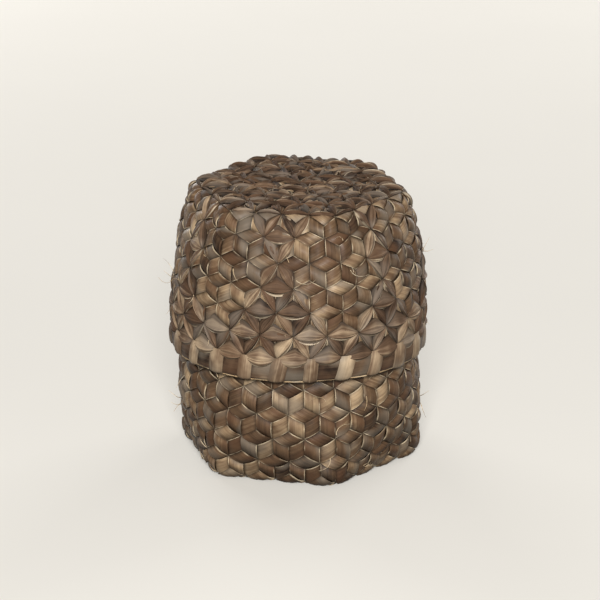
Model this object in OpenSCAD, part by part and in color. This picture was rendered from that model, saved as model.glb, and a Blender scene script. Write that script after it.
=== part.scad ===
// A lidded box in three-way mad weave of leaf strips. The body stands on a hexagon, turns round as it
// rises and ends in a plain neck. The cap lid slides down over the neck and has a hexagonal top.
// Each vessel is woven twice, an outer layer over a lining, and folded over a hoop at its edge.
// Millimetres, +Z up, origin in the middle of the underside.

/* [Weave] */
// Width of one leaf strip
strip_w = 6; // [5.5:0.25:7]
// Room between neighbouring strips that run the same way
strip_gap = 0.3; // [0.1:0.05:0.5]
// Strips that run out through one side of the hexagon
side_strips = 8; // [6:2:10]
// Thickness of the outer woven layer
weave_t = 1.1; // [0.9:0.1:1.4]
// Thickness of the woven lining
lining_t = 0.9; // [0.7:0.1:1.2]
// Room between the outer layer and the lining
layer_gap = 0.2; // [0.15:0.05:0.4]
// Room left at the seams between neighbouring pieces
seam = 0.12; // [0.1:0.01:0.2]

/* [Body] */
// Height of the body up to its mouth
body_h = 93.2; // [86:0.2:98]
// Corner radius of the hexagonal base, seen from above
base_corner_r = 8.5; // [7:0.5:14]
// Radius of the edge between base and wall
base_edge_r = 4; // [3.5:0.25:6]
// Height at which the wall has become round
round_z = 36; // [30:1:44]
// How far the wall swells out beyond the base's own girth
body_swell = 1.4; // [0.6:0.1:2]
// Height at which the wall starts to draw in
draw_z = 16; // [12:0.5:20]
// Height on the drawn-in wall that the lid's rim is fitted to
neck_z = 46; // [44:0.5:50]
// Outer diameter of the mouth, over its folded strips
mouth_d = 88.2; // [86:0.2:90]

/* [Lid] */
// Height of the lid from its lower edge to its top
lid_h = 66; // [60:0.5:74]
// Room between the neck and the inside of the lid's rim
rim_clear = 0.75; // [0.6:0.05:1.2]
// How far the lid's wall swells out above its rim
belly = 0.2; // [0.1:0.1:1]
// Height above the rim at which the swell is full
belly_v = 17; // [14:0.5:22]
// Height above the rim at which the wall starts to turn hexagonal
hex_v = 15; // [12:0.5:22]
// How late the wall turns hexagonal: a higher power keeps it round for longer
hex_power = 2.3; // [2:0.1:3]
// How far the flats of the hexagonal top lie further in than those of the base
top_in = 4.2; // [3:0.1:5.4]
// Corner radius of the hexagonal top, seen from above
lid_corner_r = 11; // [9:0.5:15]
// Radius of the edge between the lid's wall and its top
lid_edge_r = 7; // [5:0.25:8]
// How far the closed lid is turned on the body, in degrees
lid_turn = 2.5; // [0:0.5:59.5]
// Room between the mouth and the lid where the lid comes to rest
seat_gap = 0.3; // [0.2:0.05:0.5]

/* [Rims] */
// Height of the hoop that stiffens each rim
hoop_h = 2.5; // [1.5:0.1:4]
// Thickness of a folded strip end
fold_t = 0.35; // [0.25:0.05:0.5]
// Length of the long leg of a folded strip end
fold_long = 8.4; // [6.5:0.2:10]
// Length of the short leg of a folded strip end
fold_short = 5.4; // [4:0.2:6.4]
// Plain wall between the end of a long leg and the place where the wall bends
fold_clear = 0.6; // [0.4:0.1:1]
// Slit between neighbouring strip ends
fold_slit = 0.3; // [0.2:0.05:0.6]
// Diameter of the strand along the lid's lower edge
edging_d = 0.9; // [0.6:0.1:1.4]

/* [Stars] */
// Width of a folded star petal
petal_w = 4.6; // [3.6:0.1:5.4]
// Height of a petal's ridge above the weave
petal_h = 1; // [0.6:0.1:1.5]
// Room between a petal and the weave under it
petal_seat = 0.15; // [0.1:0.01:0.25]
// Length left free at each end of a petal
petal_end = 0.5; // [0.3:0.05:1]
// Height from one row of stars to the next on the lid's wall
lid_row = 9.5; // [9:0.1:10.6]
// Rows of stars that run all the way round above the rim
full_rows = 2; // [1:1:3]
// Spacing of the star columns on the lid's wall, in star widths
column_step = 3.5; // [3:0.5:4]
// Columns of stars on the lid's wall
columns = 7; // [5:1:7]

/* [Hidden] */
$fn = 60;

// Facets round a woven wall, steps of height in each long stretch of it and steps of each bend
around = 60;
steps = 4;
bend_steps = 3;

// The hexagon that one vessel's strips span, and the swollen circle above it
side = (strip_w + strip_gap) * side_strips;
base_apothem = side * cos(30) + weave_t / 2;
girth_r = 6 * side / (2 * PI) + weave_t / 2 + body_swell;
lining_d = weave_t + layer_gap;
stack_t = lining_d + lining_t;

// Mouth of the body: the wall runs straight under the folded strip ends
fold_n = 6 * side_strips;
fold_a = 360 / fold_n;
fold_room = fold_t + seam;
mouth_r = mouth_d / 2;
mouth_wall_r = mouth_r - fold_room;
mouth_wall_z = body_h - fold_room - hoop_h - seam;
taper_z = body_h - fold_long - fold_clear;

// Rim of the lid, outside the neck
neck_r = body_round_r(neck_z);
rim_wall_r = neck_r + rim_clear + fold_room + stack_t;
rim_r = rim_wall_r + fold_room;
rim_wall_v = fold_room + hoop_h + seam;
belly_r = rim_wall_r + belly;
band_v = fold_long + fold_clear;

// Edge of the lid: an arc that takes over from the leaning wall
edge_a = 25;
edge_centre_v = lid_h - lid_edge_r;
edge_in = lid_edge_r * cos(edge_a);
edge_v = edge_centre_v + lid_edge_r * sin(edge_a);
edge_arc = lid_edge_r * (90 - edge_a) * PI / 180;
top_apothem = base_apothem - top_in;

// The lid comes down until its narrowing flats meet the mouth, or its rim the neck that it is fitted to
seat_share = (belly_r - stack_t - mouth_r - seat_gap) / (belly_r - top_apothem);
seat_v = hex_v + (edge_v - hex_v) * pow(seat_share, 1 / hex_power);
lid_z = max(body_h - seat_v, neck_z);

// The lattice that the stars stand on: on the top, its outermost ring lies in the middle of the edge's arc
top_rings = side_strips / 2 - 1;
top_row = (top_apothem - edge_in + edge_arc / 2) / (top_rings + 1);
top_pitch = top_row / sin(60);
star_count = 3 * side_strips;
star_unit_a = 360 / star_count;
first_row_v = band_v + petal_end;
wall_rows = floor((edge_v - first_row_v) / lid_row) + 1;
column_start_a = -142.5;
wide_share = 1.05;
narrow_share = 0.55;

leaf = "#6b5849";
leaf_dark = "#54443a";
leaf_pale = "#9c8879";

function mix(a, b, t) = a + (b - a) * t;

function ease(t) = t * t * (3 - 2 * t);

function share(x, from, to) = min(1, max(0, (x - from) / (to - from)));

// Radius at angle a of a hexagon with rounded corners, which point along 0, 60, 120 degrees and so on
function hexagon_r(a, apothem, corner_r) =
    let (off_flat = abs((a % 60 + 60) % 60 - 30))
    let (corner = (apothem - corner_r) / cos(30))
    let (off_corner = 30 - off_flat)
    apothem * tan(off_flat) <= (apothem - corner_r) * tan(30)
        ? apothem / cos(off_flat)
        : corner * cos(off_corner) + sqrt(pow(corner_r, 2) - pow(corner * sin(off_corner), 2));

// Radius of a section that is part circle, part hexagon, drawn in by inset all round
function section_r(a, round_r, apothem, corner_r, hexness, inset) =
    mix(round_r - inset, hexagon_r(a, apothem - inset, max(corner_r - inset, seam)), hexness);

// Body wall: hexagonal at the base, round from round_z, drawn in from draw_z to the mouth
function body_hexness(z) = pow(1 - share(z, base_edge_r, round_z), 2);

function body_round_r(z) = mix(girth_r, mouth_wall_r, ease(share(z, draw_z, taper_z)));

function body_ring(z, inset) = [
    for (i = [0 : around - 1])
        let (a = i * 360 / around)
        let (r = section_r(a, body_round_r(z), base_apothem, base_corner_r, body_hexness(z), inset))
        [r * cos(a), r * sin(a), z]
];

// Height and inset of each ring of a body layer whose face lies d inside the outer face
function body_stations(d) = concat(
    [for (a = [0 : 90 / bend_steps : 90])
        [base_edge_r - (base_edge_r - d) * cos(a), base_edge_r - (base_edge_r - d) * sin(a)]],
    [for (i = [1 : steps]) [mix(base_edge_r, round_z, i / steps), d]],
    [for (i = [1 : steps]) [mix(round_z, taper_z, i / steps), d]],
    [[mouth_wall_z, d]]
);

// Lid wall, by height above its lower edge: round at the rim, hexagonal at the top
function lid_hexness(v) = pow(share(v, hex_v, edge_v), hex_power);

function lid_round_r(v) = mix(rim_wall_r, belly_r, ease(share(v, band_v, belly_v)));

function lid_r(v, a, inset = 0) =
    section_r(a, lid_round_r(v), top_apothem, lid_corner_r, lid_hexness(v), inset);

function lid_ring(v, inset) = [
    for (i = [0 : around - 1])
        let (a = i * 360 / around)
        let (r = lid_r(v, a, inset))
        [r * cos(a), r * sin(a), v]
];

function lid_stations(d) = concat(
    [[rim_wall_v, d]],
    [for (i = [0 : bend_steps]) [mix(band_v, belly_v, i / bend_steps), d]],
    [for (i = [1 : steps]) [mix(belly_v, edge_v - d * sin(edge_a), i / (steps + 1)), d]],
    [for (a = [edge_a : (90 - edge_a) / bend_steps : 90])
        [edge_centre_v + (lid_edge_r - d) * sin(a), edge_in - (lid_edge_r - d) * cos(a)]]
);

function flip(list) = [for (i = [len(list) - 1 : -1 : 0]) list[i]];

// A closed shell from rings that run up its outside and down its inside
module shell(rings) {
    count = len(rings);
    points = [for (ring = rings) each ring];
    faces = [
        for (i = [0 : count - 1], j = [0 : around - 1])
            let (here = i * around, next = (i + 1) % count * around, k = (j + 1) % around)
            each [[here + j, next + j, next + k], [here + j, next + k, here + k]]
    ];
    polyhedron(points, faces);
}

module body_shell(d, t) {
    outer = [for (s = body_stations(d)) body_ring(s[0], s[1])];
    inner = [for (s = body_stations(d + t)) body_ring(s[0], s[1])];
    shell(concat(outer, flip(inner)));
}

module lid_shell(d, t) {
    outer = [for (s = lid_stations(d)) lid_ring(s[0], s[1])];
    inner = [for (s = lid_stations(d + t)) lid_ring(s[0], s[1])];
    shell(concat(outer, flip(inner)));
}

// A flat hexagonal mat inside the turned edge of a vessel
module mat(apothem, corner_r, inset, t)
    linear_extrude(t)
        polygon([
            for (i = [0 : around - 1])
                let (a = i * 360 / around)
                let (r = hexagon_r(a, apothem - inset - seam, max(corner_r - inset - seam, seam)))
                [r * cos(a), r * sin(a)]
        ]);

module hoop(wall_r)
    rotate_extrude()
        translate([wall_r - stack_t, 0])
            square([stack_t, hoop_h]);

// Every second strip end round a rim, folded over the hoop at z = 0 with its legs hanging down
module folds(first, wall_r, outer_leg, inner_leg) {
    slit_a = fold_slit / wall_r * 180 / PI;
    for (i = [first : 2 : fold_n - 1])
        rotate(i * fold_a)
            rotate_extrude(angle = fold_a - slit_a)
                fold_section(wall_r, outer_leg, inner_leg);
}

module fold_section(wall_r, outer_leg, inner_leg) {
    inner_r = wall_r - stack_t - fold_room;
    polygon([
        [inner_r, -inner_leg],
        [inner_r + fold_t, -inner_leg],
        [inner_r + fold_t, -fold_t],
        [wall_r + seam, -fold_t],
        [wall_r + seam, -outer_leg],
        [wall_r + fold_room, -outer_leg],
        [wall_r + fold_room, 0],
        [inner_r, 0]
    ]);
}

// A petal with a raised ridge: two tips, two sides, the ridge's top and the middle of its underside
module petal(tip_a, tip_b, left, right, ridge, under)
    polyhedron(
        [tip_a, tip_b, left, right, ridge, under],
        [
            [0, 2, 4], [2, 1, 4], [1, 3, 4], [3, 0, 4],
            [2, 0, 5], [1, 2, 5], [3, 1, 5], [0, 3, 5]
        ]
    );

// A point on the lid's wall, lifted off it
function wall_point(v, a, lift) =
    let (r = lid_r(v, a) + lift)
    [r * cos(a), r * sin(a), v];

// A petal on the wall between two lattice points, each given as [height, angle]
module wall_petal(p, q) {
    middle = (p + q) / 2;
    arc = lid_r(middle[0], middle[1]) * PI / 180;
    reach = norm([(q[1] - p[1]) * arc, q[0] - p[0]]);
    along = (q - p) / reach;
    across = [along[1] * arc, -along[0] / arc] * petal_w / 2;
    tip_a = p + along * petal_end;
    tip_b = q - along * petal_end;
    left = middle - across;
    right = middle + across;
    petal(
        wall_point(tip_a[0], tip_a[1], petal_seat),
        wall_point(tip_b[0], tip_b[1], petal_seat),
        wall_point(left[0], left[1], petal_seat),
        wall_point(right[0], right[1], petal_seat),
        wall_point(middle[0], middle[1], petal_h),
        wall_point(middle[0], middle[1], petal_seat)
    );
}

// A petal on the flat top between two lattice points
module top_petal(p, q) {
    along = (q - p) / norm(q - p);
    across = [-along[1], along[0]] * petal_w / 2;
    middle = (p + q) / 2;
    tip_a = p + along * petal_end;
    tip_b = q - along * petal_end;
    petal(
        [each tip_a, petal_seat],
        [each tip_b, petal_seat],
        [each middle + across, petal_seat],
        [each middle - across, petal_seat],
        [each middle, petal_h],
        [each middle, petal_seat]
    );
}

// Lattice points of the wall: rows count from the rim, and every second row is shifted by half, so
// that the row on the lid's edge has a point at each corner
function row_shift(row) = (wall_rows + 1 - row) % 2 / 2;

function lattice(row, place) = [first_row_v + (row - 1) * lid_row, place * star_unit_a];

// Star widths from a lattice point to the nearest column of stars
function off_column(place) =
    min([
        for (k = [0 : columns - 1])
            let (d = place - column_start_a / star_unit_a - k * column_step)
            abs(d - star_count * round(d / star_count))
    ]);

function starred(row, place) =
    row <= full_rows
    || row == full_rows + 1 && off_column(place) < wide_share
    || row > full_rows + 1 && off_column(place) < narrow_share;

neighbours = [[1, 0], [0, 1], [-1, 1]];

function on_top(p) = max(abs(p[0]), abs(p[1]), abs(p[0] + p[1])) <= top_rings;

function top_point(p) = [top_pitch * (p[0] + p[1] / 2), top_row * p[1]];

module body_floor() color(leaf_dark) mat(base_apothem, base_corner_r, base_edge_r, weave_t);

module body_wall() color(leaf) body_shell(0, weave_t);

module floor_lining()
    color(leaf_pale)
        translate([0, 0, lining_d])
            mat(base_apothem, base_corner_r, base_edge_r, lining_t);

module wall_lining() color(leaf_pale) body_shell(lining_d, lining_t);

module mouth_hoop()
    color(leaf_dark)
        translate([0, 0, mouth_wall_z + seam])
            hoop(mouth_wall_r);

module mouth_long_folds()
    color(leaf_pale)
        translate([0, 0, body_h])
            folds(0, mouth_wall_r, fold_long, fold_short);

module mouth_short_folds()
    color(leaf_dark)
        translate([0, 0, body_h])
            folds(1, mouth_wall_r, fold_short, fold_long);

// Puts what is modelled in the lid's own heights where the closed lid stands
module on_lid() translate([0, 0, lid_z]) rotate(lid_turn) children();

module lid_top()
    color(leaf)
        on_lid()
            translate([0, 0, lid_h - weave_t])
                mat(top_apothem, lid_corner_r, edge_in, weave_t);

module lid_wall() color(leaf) on_lid() lid_shell(0, weave_t);

module lid_top_lining()
    color(leaf_pale)
        on_lid()
            translate([0, 0, lid_h - stack_t])
                mat(top_apothem, lid_corner_r, edge_in, lining_t);

module lid_wall_lining() color(leaf_pale) on_lid() lid_shell(lining_d, lining_t);

module lid_rim_hoop() color(leaf_dark) on_lid() translate([0, 0, fold_room]) hoop(rim_wall_r);

module lid_rim_long_folds()
    color(leaf_pale)
        on_lid()
            mirror([0, 0, 1])
                folds(0, rim_wall_r, fold_long, fold_short);

module lid_rim_short_folds()
    color(leaf_dark)
        on_lid()
            mirror([0, 0, 1])
                folds(1, rim_wall_r, fold_short, fold_long);

module lid_rim_edging()
    color(leaf_pale)
        on_lid()
            rotate_extrude()
                translate([rim_r - edging_d / 2, -edging_d / 2 - seam])
                    circle(d = edging_d);

module lid_top_stars()
    color(leaf_pale)
        on_lid()
            translate([0, 0, lid_h])
                for (i = [-top_rings : top_rings], j = [-top_rings : top_rings], step = neighbours)
                    if (on_top([i, j]) && on_top([i, j] + step))
                        top_petal(top_point([i, j]), top_point([i, j] + step));

module lid_wall_stars()
    color(leaf_pale)
        on_lid()
            for (row = [1 : wall_rows], n = [0 : star_count - 1]) {
                place = n + row_shift(row);
                if (row > 1 && starred(row, place) && starred(row, place + 1))
                    wall_petal(lattice(row, place), lattice(row, place + 1));
                for (turn = [-0.5, 0.5])
                    if (row < wall_rows && starred(row, place) && starred(row + 1, place + turn))
                        wall_petal(lattice(row, place), lattice(row + 1, place + turn));
            }

body_floor();
body_wall();
floor_lining();
wall_lining();
mouth_hoop();
mouth_long_folds();
mouth_short_folds();
lid_top();
lid_wall();
lid_top_lining();
lid_wall_lining();
lid_rim_hoop();
lid_rim_long_folds();
lid_rim_short_folds();
lid_rim_edging();
lid_top_stars();
lid_wall_stars();
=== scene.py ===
"""Looks of a lidded box in three-way mad weave: leaf strips, relief stars, folded rims and a studio."""

import logging
import math
from dataclasses import dataclass, field, replace
from enum import Enum, IntEnum
from functools import cache
from typing import Any, Sequence

import bpy
import numpy as np
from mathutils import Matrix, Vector


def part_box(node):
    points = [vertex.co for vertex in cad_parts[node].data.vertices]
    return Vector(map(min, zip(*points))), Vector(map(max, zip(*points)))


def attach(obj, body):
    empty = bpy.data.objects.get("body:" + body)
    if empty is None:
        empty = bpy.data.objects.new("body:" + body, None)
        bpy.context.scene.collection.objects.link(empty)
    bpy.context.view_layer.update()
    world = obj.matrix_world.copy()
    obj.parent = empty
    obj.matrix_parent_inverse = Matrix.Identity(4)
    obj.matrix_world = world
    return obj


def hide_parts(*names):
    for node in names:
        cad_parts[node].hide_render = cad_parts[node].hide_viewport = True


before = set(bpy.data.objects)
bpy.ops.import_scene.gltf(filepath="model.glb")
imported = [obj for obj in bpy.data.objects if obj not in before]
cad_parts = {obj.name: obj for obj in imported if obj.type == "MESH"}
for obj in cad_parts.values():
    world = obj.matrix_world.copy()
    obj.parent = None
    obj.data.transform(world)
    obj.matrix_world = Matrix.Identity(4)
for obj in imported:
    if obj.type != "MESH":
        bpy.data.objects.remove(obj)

Array = np.ndarray
Pair = tuple[float, float]
Material = bpy.types.Material
Piece = bpy.types.Object
Socket = bpy.types.NodeSocket
Tree = bpy.types.NodeTree

MM = 0.001
SIXTH = math.radians(60)
# Unrelated numbers, so that keys beside each other give values that have nothing in common
SCATTER_FACTORS = (12.9898, 78.233, 37.719)
SCATTER_START = 4.137
SCATTER_SIZE = 43758.5453
# The side of the hexagon that the places of stars and fibres, all round a vessel, are given from
FIRST_SIDE = 0
# The section of a strip: its top's points from right to left, then three of them again underneath
STRIP_RING = np.array([0, 1, 2, 3, 4, 4, 2, 0])
STRIP_UNDER = np.array([0, 0, 0, 0, 0, 1, 1, 1])
# Where a leaf strip has its cut edge in its texture layout, in millimetres from its middle
LEAF_HALF_W = 2.82

log = logging.getLogger("woven_box")


def mix(a: Any, b: Any, t: Any) -> Any:
    """The value a share t of the way from a to b."""
    return a + (b - a) * t


def share(x: Any, start: float, end: float) -> Any:
    """How far x lies from start to end, kept within 0 and 1."""
    return np.clip((x - start) / (end - start), 0, 1)


def ease(t: Any) -> Any:
    """A smooth step from 0 to 1."""
    return t * t * (3 - 2 * t)


def scatter(*keys: Any) -> Any:
    """A fixed, random-looking value from 0 to 1 for the given numbers."""
    total = sum(np.asarray(key) * factor for key, factor in zip(keys, SCATTER_FACTORS))
    return np.mod(np.sin(total + SCATTER_START) * SCATTER_SIZE, 1.0)


def chances(count: int, *keys: float) -> list[float]:
    """As many fixed, random-looking values from 0 to 1 for the given numbers."""
    return [float(scatter(*keys, n)) for n in range(count)]


def linear(colour: str) -> tuple[float, float, float, float]:
    """Linear red, green and blue, with an alpha of 1, of an sRGB hex colour."""
    channels = [int(colour[i : i + 2], 16) / 255 for i in (1, 3, 5)]
    return (*(c / 12.92 if c <= 0.04045 else ((c + 0.055) / 1.055) ** 2.4 for c in channels), 1.0)


def add_node(tree: Tree, kind: str, inputs: dict | None = None, **settings: Any) -> bpy.types.Node:
    """Adds a shader node with its settings and links.

    Args:
        tree: The material's node tree.
        kind: Blender's name of the node.
        inputs: What each input takes: another node's output, or a value.
        settings: The node's own settings.

    Returns:
        The new node.
    """
    node = tree.nodes.new(kind)
    for name, value in settings.items():
        setattr(node, name, value)
    for socket, value in (inputs or {}).items():
        if isinstance(value, Socket):
            tree.links.new(value, node.inputs[socket])
        else:
            node.inputs[socket].default_value = value
    return node


def new_material(name: str) -> tuple[Material, Tree, bpy.types.Node]:
    """Starts a material made of nodes.

    Args:
        name: The name of the material.

    Returns:
        The material, its node tree and its shader.
    """
    material = bpy.data.materials.new(name)
    material.use_nodes = True
    tree = material.node_tree
    return material, tree, tree.nodes["Principled BSDF"]


def add_object(name: str, data: bpy.types.ID) -> Piece:
    """Puts a mesh, a lamp or a camera into the scene.

    Args:
        name: The name of the new object.
        data: What it shows or is.

    Returns:
        The object.
    """
    added = bpy.data.objects.new(name, data)
    bpy.context.scene.collection.objects.link(added)
    return added


@dataclass(frozen=True)
class Grain:
    """Marks drawn out along a strip: their length and width in millimetres, how unlike they are from one
    strip to the next, and how finely they break up."""

    length: float
    width: float
    apart: float
    detail: float = 1.0
    roughness: float = 0.6

    def build(self, tree: Tree, lay: Socket) -> Socket:
        """Makes the marks.

        Args:
            tree: The material's node tree.
            lay: Length along the strip, width across it and the strip's number.

        Returns:
            A value from 0 to 1, about 0.5 on average.
        """
        scale = (1 / self.length, 1 / self.width, self.apart)
        drawn_out = add_node(
            tree, "ShaderNodeVectorMath", {0: lay, 1: scale}, operation="MULTIPLY"
        ).outputs[0]
        marks = {"Vector": drawn_out, "Scale": 1.0, "Detail": self.detail, "Roughness": self.roughness}
        return add_node(tree, "ShaderNodeTexNoise", marks).outputs[0]


@dataclass(frozen=True)
class LeafFinish:
    """Dried, smoke-browned leaf strip: a dense fibre grain along the strip, silky where it bulges, with
    cut edges that show the paler inside of the leaf, soot and painted shade in the dips, and painted
    shade on faces that look down. Each visible span has aged on its own, to grey, rust or brown."""

    name: str
    dark: str
    middle: str
    light: str
    grey: str
    rust: str
    cut_edge: str
    soot_and_shade: str
    # Fibres about 0.4 mm wide, drawn a little coarser than the leaf's own so that they show
    fibre: Grain = Grain(16.0, 0.42, 3.7, 3.0)
    # Ribs of the leaf, a millimetre or so apart, worn pale on top and dark between
    rib: Grain = Grain(48.0, 1.1, 5.3)
    # Weathered patches, about as long as one visible span of a strip
    patch: Grain = Grain(7.0, 5.0, 9.1, 2.0)
    # A cast of grey or rust, over two spans or so
    cast: Grain = Grain(21.0, 10.0, 2.9)
    # Lengths of cut edge that have split and turned pale, a few millimetres each
    split: Grain = Grain(5.0, 2 * LEAF_HALF_W, 6.1)
    # How far each of these lightens or darkens the leaf, around its middle colour
    tone_weight: float = 0.75
    patch_weight: float = 0.75
    fibre_weight: float = 0.5
    rib_weight: float = 0.13
    tone_start: float = -0.52
    rib_range: Pair = (0.35, 0.65)
    # Casts between which grey and rust set in, and how far they cover the leaf
    grey_range: Pair = (0.48, 0.36)
    rust_range: Pair = (0.52, 0.66)
    tint: float = 0.6
    # Width of the cut edge, the least split that shows pale, how it fades in, and how pale it is
    edge_w: float = 0.2
    edge_least: float = 0.44
    edge_fade: float = 0.16
    edge_strength: float = 0.65
    # Soot and painted shade in the dips, and painted shade on the lower side of every bulge as far as it
    # faces down
    dip_soot_and_shade: float = 0.92
    under_shade: float = 0.65
    under_range: Pair = (0.15, -0.6)
    # Roughness from the silkiest patches to the dullest
    roughness: Pair = (0.34, 0.68)
    silk_range: Pair = (0.3, 0.7)
    # Height of the relief in millimetres, and what fibres and ribs add to it
    relief: float = 0.15
    relief_strength: float = 0.8
    fibre_relief: float = 0.5
    rib_relief: float = 0.4
    ior: float = 1.45
    gloss: float = 0.18

    def build(self) -> Material:
        """Makes the material.

        Returns:
            The material, which reads the attributes lay, tone and dip of a piece.
        """
        material, tree, shader = new_material(self.name)
        lay, tone, dip = (
            add_node(tree, "ShaderNodeAttribute", attribute_name=name).outputs[output]
            for name, output in (("lay", "Vector"), ("tone", "Fac"), ("dip", "Fac"))
        )
        grains = (self.fibre, self.rib, self.patch, self.cast, self.split)
        fibre, rib, patch, cast, split = (grain.build(tree, lay) for grain in grains)
        low, high = self.rib_range
        rib = add_node(
            tree, "ShaderNodeMapRange", {"Value": rib, "From Min": low, "From Max": high}
        ).outputs[0]
        across = add_node(tree, "ShaderNodeSeparateXYZ", {0: lay}).outputs["Y"]
        off_middle = add_node(tree, "ShaderNodeMath", {0: across}, operation="ABSOLUTE").outputs[0]
        pale = add_node(
            tree,
            "ShaderNodeMapRange",
            {
                "Value": split,
                "From Min": self.edge_least,
                "From Max": self.edge_least + self.edge_fade,
                "To Max": self.edge_strength,
            },
        ).outputs[0]
        facing = add_node(tree, "ShaderNodeNewGeometry").outputs["Normal"]
        upward = add_node(tree, "ShaderNodeSeparateXYZ", {0: facing}).outputs["Z"]
        spread = self._sum(
            tree,
            self.tone_start - self.rib_weight / 2,
            (tone, self.tone_weight),
            (patch, self.patch_weight),
            (fibre, self.fibre_weight),
            (rib, self.rib_weight),
        )
        edge_range = (LEAF_HALF_W - self.edge_w, LEAF_HALF_W - self.edge_w / 3)
        colour: Any = linear(self.dark)
        # Each coat lies over those before it: what it follows, where it starts and is full, how far it
        # covers, and its colour
        for value, (none, full), most, coat in (
            (spread, (0.0, 0.5), 1.0, self.middle),
            (spread, (0.5, 1.0), 1.0, self.light),
            (cast, self.grey_range, self.tint, self.grey),
            (cast, self.rust_range, self.tint, self.rust),
            (off_middle, edge_range, pale, self.cut_edge),
            # Painted shade on faces that look down, then soot and painted shade in the dips
            (upward, self.under_range, self.under_shade, self.soot_and_shade),
            (dip, (0.0, 1.0), self.dip_soot_and_shade, self.soot_and_shade),
        ):
            ramp = {"Value": value, "From Min": none, "From Max": full, "To Max": most}
            cover = add_node(tree, "ShaderNodeMapRange", ramp).outputs[0]
            colour = add_node(
                tree, "ShaderNodeMix", {"Factor": cover, 6: colour, 7: linear(coat)}, data_type="RGBA"
            ).outputs[2]
        (none, full), (silky, dull) = self.silk_range, self.roughness
        rough = add_node(
            tree,
            "ShaderNodeMapRange",
            {"Value": patch, "From Min": none, "From Max": full, "To Min": dull, "To Max": silky},
        ).outputs[0]
        height = self._sum(tree, 0.0, (fibre, self.fibre_relief), (rib, self.rib_relief))
        bump = add_node(
            tree,
            "ShaderNodeBump",
            {"Height": height, "Strength": self.relief_strength, "Distance": self.relief * MM},
        ).outputs[0]
        shader.inputs["IOR"].default_value = self.ior
        shader.inputs["Specular IOR Level"].default_value = self.gloss
        for socket, value in (("Base Color", colour), ("Roughness", rough), ("Normal", bump)):
            tree.links.new(value, shader.inputs[socket])
        return material

    @staticmethod
    def _sum(tree: Tree, start: float, *terms: tuple[Socket, float]) -> Socket:
        """A weighted sum.

        Args:
            tree: The material's node tree.
            start: What the sum starts from.
            terms: Each value with its weight.

        Returns:
            The sum.
        """
        total: Any = start
        for value, weight in terms:
            total = add_node(
                tree, "ShaderNodeMath", {0: value, 1: weight, 2: total}, operation="MULTIPLY_ADD"
            ).outputs[0]
        return total


@dataclass(frozen=True)
class PlainFinish:
    """Painted card of a studio: matt and very slightly mottled. The camera sees it paler than the light
    that it throws back, so that the background is pale and the box keeps its own shading."""

    name: str
    colour: str
    mottle: str
    unseen: str
    glow: str
    glow_strength: float = 0.3
    # Clouds of the mottling, about 180 mm across
    mottle_mm: float = 180.0
    mottle_detail: float = 3.0
    roughness: float = 0.9

    def build(self) -> Material:
        """Makes the material.

        Returns:
            The material.
        """
        material, tree, shader = new_material(self.name)
        place = add_node(tree, "ShaderNodeTexCoord").outputs["Object"]
        clouds = {"Vector": place, "Scale": 1 / (self.mottle_mm * MM), "Detail": self.mottle_detail}
        cloud = add_node(tree, "ShaderNodeTexNoise", clouds).outputs[0]
        rays = add_node(tree, "ShaderNodeLightPath").outputs
        seen = rays["Is Camera Ray"]
        for kind in ("Is Glossy Ray", "Is Transmission Ray"):
            seen = add_node(
                tree, "ShaderNodeMath", {0: seen, 1: rays[kind]}, operation="MAXIMUM"
            ).outputs[0]
        colour: Any = linear(self.mottle)
        for factor, first in ((cloud, self.colour), (seen, self.unseen)):
            colour = add_node(
                tree, "ShaderNodeMix", {"Factor": factor, 6: linear(first), 7: colour}, data_type="RGBA"
            ).outputs[2]
        glow = add_node(
            tree, "ShaderNodeMath", {0: seen, 1: self.glow_strength}, operation="MULTIPLY"
        ).outputs[0]
        shader.inputs["Roughness"].default_value = self.roughness
        shader.inputs["Emission Color"].default_value = linear(self.glow)
        tree.links.new(glow, shader.inputs["Emission Strength"])
        tree.links.new(colour, shader.inputs["Base Color"])
        return material


class Finish(Enum):
    """The finishes of the box, one for each material slot of the record."""

    # Browned by smoke, silky on each bulge, with soot and painted shade black in the gaps
    WOVEN_LEAF = LeafFinish(
        "smoked_pandan_leaf_strip",
        "#241811", "#6b533d", "#bfa481", "#7f7364", "#614531", "#e0ccab", "#0f0a06",
    )
    # Folded double, so duller, with finer ribs that stand out more and wider pale lips
    STAR_LEAF = LeafFinish(
        "folded_pandan_leaf_petal",
        "#221710", "#6b5441", "#c8ae8d", "#807467", "#634834", "#e6d3b4", "#0d0805",
        rib=Grain(48.0, 0.6, 5.3), rib_weight=0.25, edge_w=0.6, edge_least=0.34,
        roughness=(0.48, 0.8), relief=0.3,
    )
    # Handled most, so rubbed a little paler than the weave
    FOLDED_LEAF = LeafFinish(
        "folded_pandan_leaf_rim",
        "#261a12", "#745d48", "#d4ba98", "#877c6d", "#664a36", "#dec9a8", "#120b07",
    )
    # Never smoked, so paler, and smoothed by what was kept inside
    LINING_LEAF = LeafFinish(
        "pandan_leaf_lining_strip",
        "#5c432d", "#9f7f5c", "#d1b085", "#a69a86", "#916140", "#eed6b4", "#372619",
        relief=0.07,
    )
    # Split and scraped smooth, straw-coloured
    SPLIT_CANE = LeafFinish(
        "split_cane_hoop",
        "#7d5e3e", "#b08d61", "#d6b687", "#b5a581", "#a87d47", "#dfc297", "#543e28",
        relief=0.05,
    )
    # Fibre split from the leaf and twisted, pale as straw
    EDGING_STRAND = LeafFinish(
        "twisted_leaf_fibre_strand",
        "#8a6d4e", "#c6a982", "#e8d4b1", "#c6baa4", "#b49066", "#efdebe", "#523e2a",
    )

    @property
    def slot(self) -> str:
        """The record's material slot for this finish."""
        return self.name.lower()

    @cache
    def material(self) -> Material:
        """The material of this finish, made when it is first asked for."""
        return self.value.build()


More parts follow.
